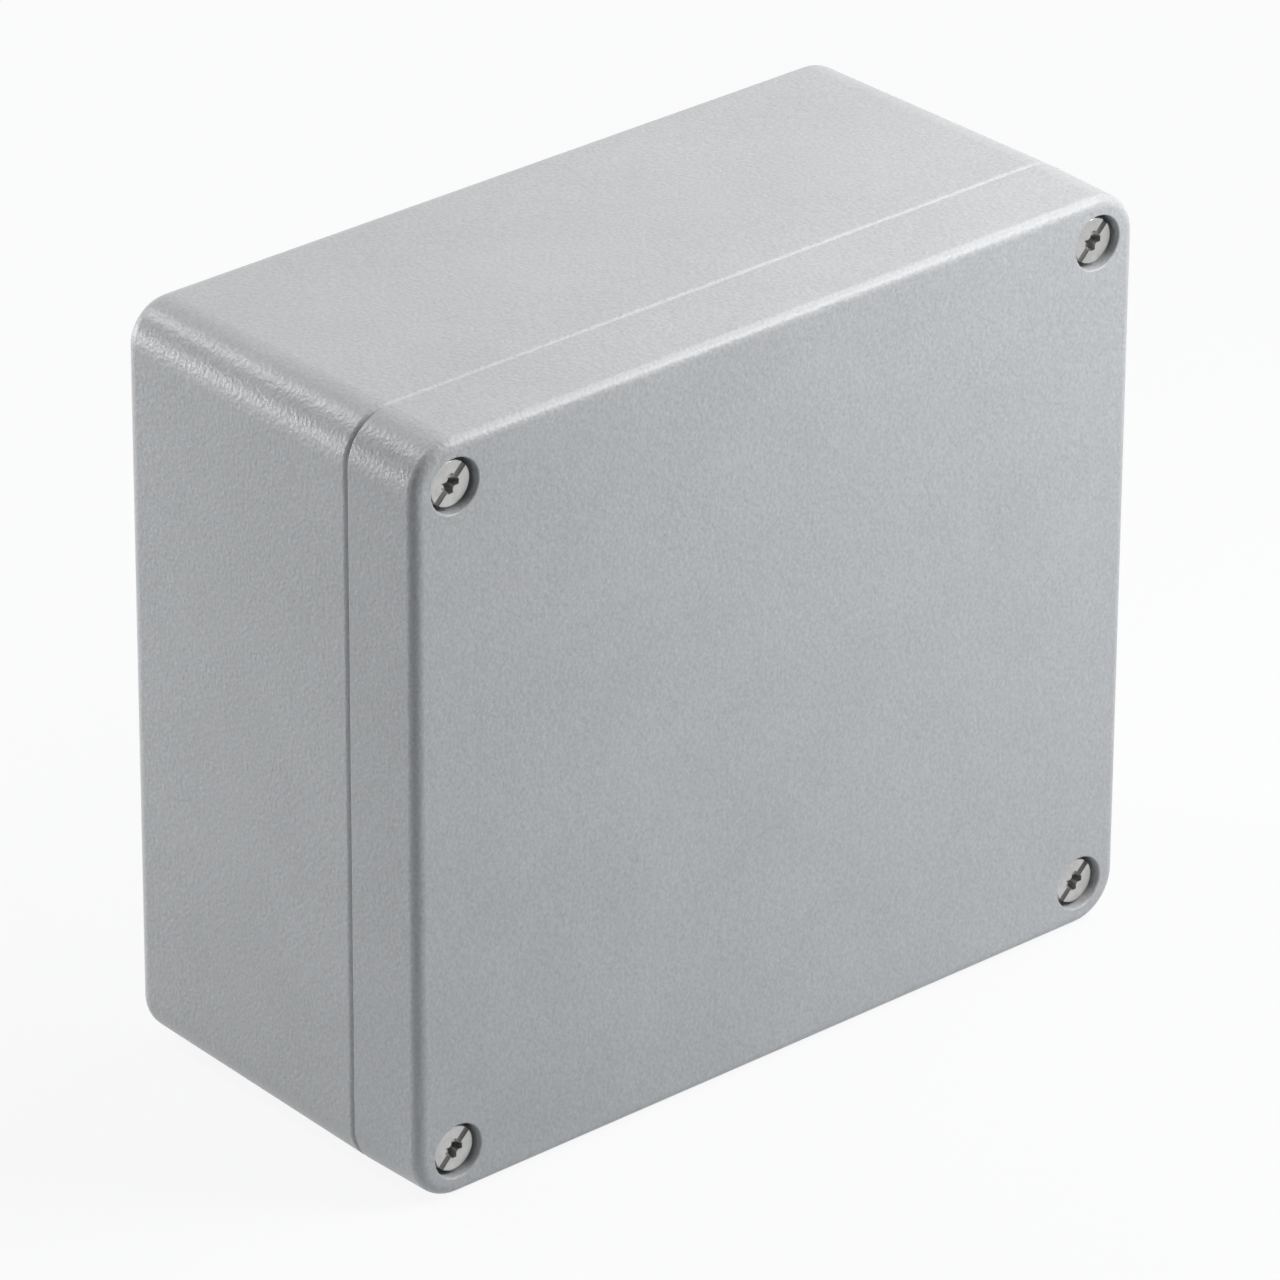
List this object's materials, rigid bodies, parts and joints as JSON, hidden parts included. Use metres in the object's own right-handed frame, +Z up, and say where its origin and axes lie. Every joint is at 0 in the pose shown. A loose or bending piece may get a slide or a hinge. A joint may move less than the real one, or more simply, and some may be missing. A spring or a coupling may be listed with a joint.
{
  "type": "die cast aluminium enclosure",
  "caption": "Rectangular die cast aluminium enclosure: deep drafted base, shallow gasketed lid and captive lid screws recessed in the corners, for electrical and control gear.",
  "frame": {"origin": "on the ground under the middle of the box: centre of the width and of the depth, at the lowest edge of the lid's rim", "axes": "X along the width of the lid, Y through the depth with the lid facing -Y and the mounting back facing +Y, Z up along the height"},
  "size_m": [0.232, 0.111, 0.205],
  "materials": {
    "powder_coated_casting": "satin",
    "stainless_steel": "satin",
    "gasket_rubber": "matte",
    "ring_plastic": "matte",
    "plated_brass": "satin"
  },
  "bodies": {
    "base": {"base_casting": "powder_coated_casting", "base_earth_clamp": "plated_brass", "base_earth_washer": "stainless_steel", "base_earth_screw": "stainless_steel"},
    "lid": {"lid_casting": "powder_coated_casting", "lid_gasket": "gasket_rubber", "lid_earth_clamp": "plated_brass", "lid_earth_washer": "stainless_steel", "lid_earth_screw": "stainless_steel"},
    "ring_top_left": {"retaining_ring_top_left": "ring_plastic"},
    "screw_top_left": {"lid_screw_top_left": "stainless_steel"},
    "ring_top_right": {"retaining_ring_top_right": "ring_plastic"},
    "screw_top_right": {"lid_screw_top_right": "stainless_steel"},
    "ring_bottom_left": {"retaining_ring_bottom_left": "ring_plastic"},
    "screw_bottom_left": {"lid_screw_bottom_left": "stainless_steel"},
    "ring_bottom_right": {"retaining_ring_bottom_right": "ring_plastic"},
    "screw_bottom_right": {"lid_screw_bottom_right": "stainless_steel"}
  },
  "joints": [
    {"name": "lid_lift_off", "type": "slide", "parent": "base", "child": "lid", "axis": [0, -1, 0], "range_m": [0, 0.12]},
    {"name": "top_left_screw_travel", "type": "slide", "parent": "lid", "child": "ring_top_left", "axis": [0, -1, 0], "range_m": [0, 0.01]},
    {"name": "top_left_screw_turn", "type": "hinge", "parent": "ring_top_left", "child": "screw_top_left", "pos_m": [-0.103, -0.0537, 0.1925], "axis": [0, -1, 0], "range_deg": [0, 3600]},
    {"name": "top_right_screw_travel", "type": "slide", "parent": "lid", "child": "ring_top_right", "axis": [0, -1, 0], "range_m": [0, 0.01]},
    {"name": "top_right_screw_turn", "type": "hinge", "parent": "ring_top_right", "child": "screw_top_right", "pos_m": [0.103, -0.0537, 0.1925], "axis": [0, -1, 0], "range_deg": [0, 3600]},
    {"name": "bottom_left_screw_travel", "type": "slide", "parent": "lid", "child": "ring_bottom_left", "axis": [0, -1, 0], "range_m": [0, 0.01]},
    {"name": "bottom_left_screw_turn", "type": "hinge", "parent": "ring_bottom_left", "child": "screw_bottom_left", "pos_m": [-0.103, -0.0537, 0.0125], "axis": [0, -1, 0], "range_deg": [0, 3600]},
    {"name": "bottom_right_screw_travel", "type": "slide", "parent": "lid", "child": "ring_bottom_right", "axis": [0, -1, 0], "range_m": [0, 0.01]},
    {"name": "bottom_right_screw_turn", "type": "hinge", "parent": "ring_bottom_right", "child": "screw_bottom_right", "pos_m": [0.103, -0.0537, 0.0125], "axis": [0, -1, 0], "range_deg": [0, 3600]}
  ],
  "couplings": [
    {"joint": "top_left_screw_turn", "follows": "top_left_screw_travel", "rad_per_m": 6283},
    {"joint": "top_right_screw_turn", "follows": "top_right_screw_travel", "rad_per_m": 6283},
    {"joint": "bottom_left_screw_turn", "follows": "bottom_left_screw_travel", "rad_per_m": 6283},
    {"joint": "bottom_right_screw_turn", "follows": "bottom_right_screw_travel", "rad_per_m": 6283}
  ]
}
